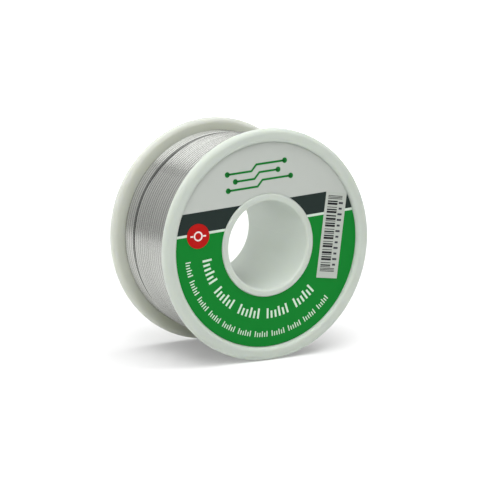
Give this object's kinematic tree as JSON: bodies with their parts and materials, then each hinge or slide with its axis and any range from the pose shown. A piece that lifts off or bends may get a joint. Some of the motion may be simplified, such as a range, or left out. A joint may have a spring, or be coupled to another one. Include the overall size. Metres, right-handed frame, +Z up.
{
  "type": "solder wire spool",
  "caption": "Plastic spool with rounded rims and a tubular spindle hole, wound with thin solder wire, with a ring label and stickers on its front.",
  "frame": {"origin": "centre of the spindle hole, midway between the two flanges", "axes": "+Y along the spindle hole, away from the label; +Z up when the spool stands on its two rims; +X to the right when the label is seen upright"},
  "size_m": [0.055, 0.03, 0.055],
  "materials": {
    "spool_plastic": "satin",
    "spool_plastic_rear": "satin",
    "solder": "satin",
    "flux": "gloss",
    "label_print": "satin",
    "red_print": "satin",
    "sticker_paper": "satin"
  },
  "bodies": {
    "root": {"front_half": "spool_plastic", "rear_half": "spool_plastic_rear", "wire_inner_layers": "solder", "wire_outer_layer": "solder", "wire_end": "solder", "flux_core": "flux", "ring_label": "label_print", "size_sticker": "red_print", "code_sticker": "sticker_paper"}
  },
  "joints": []
}
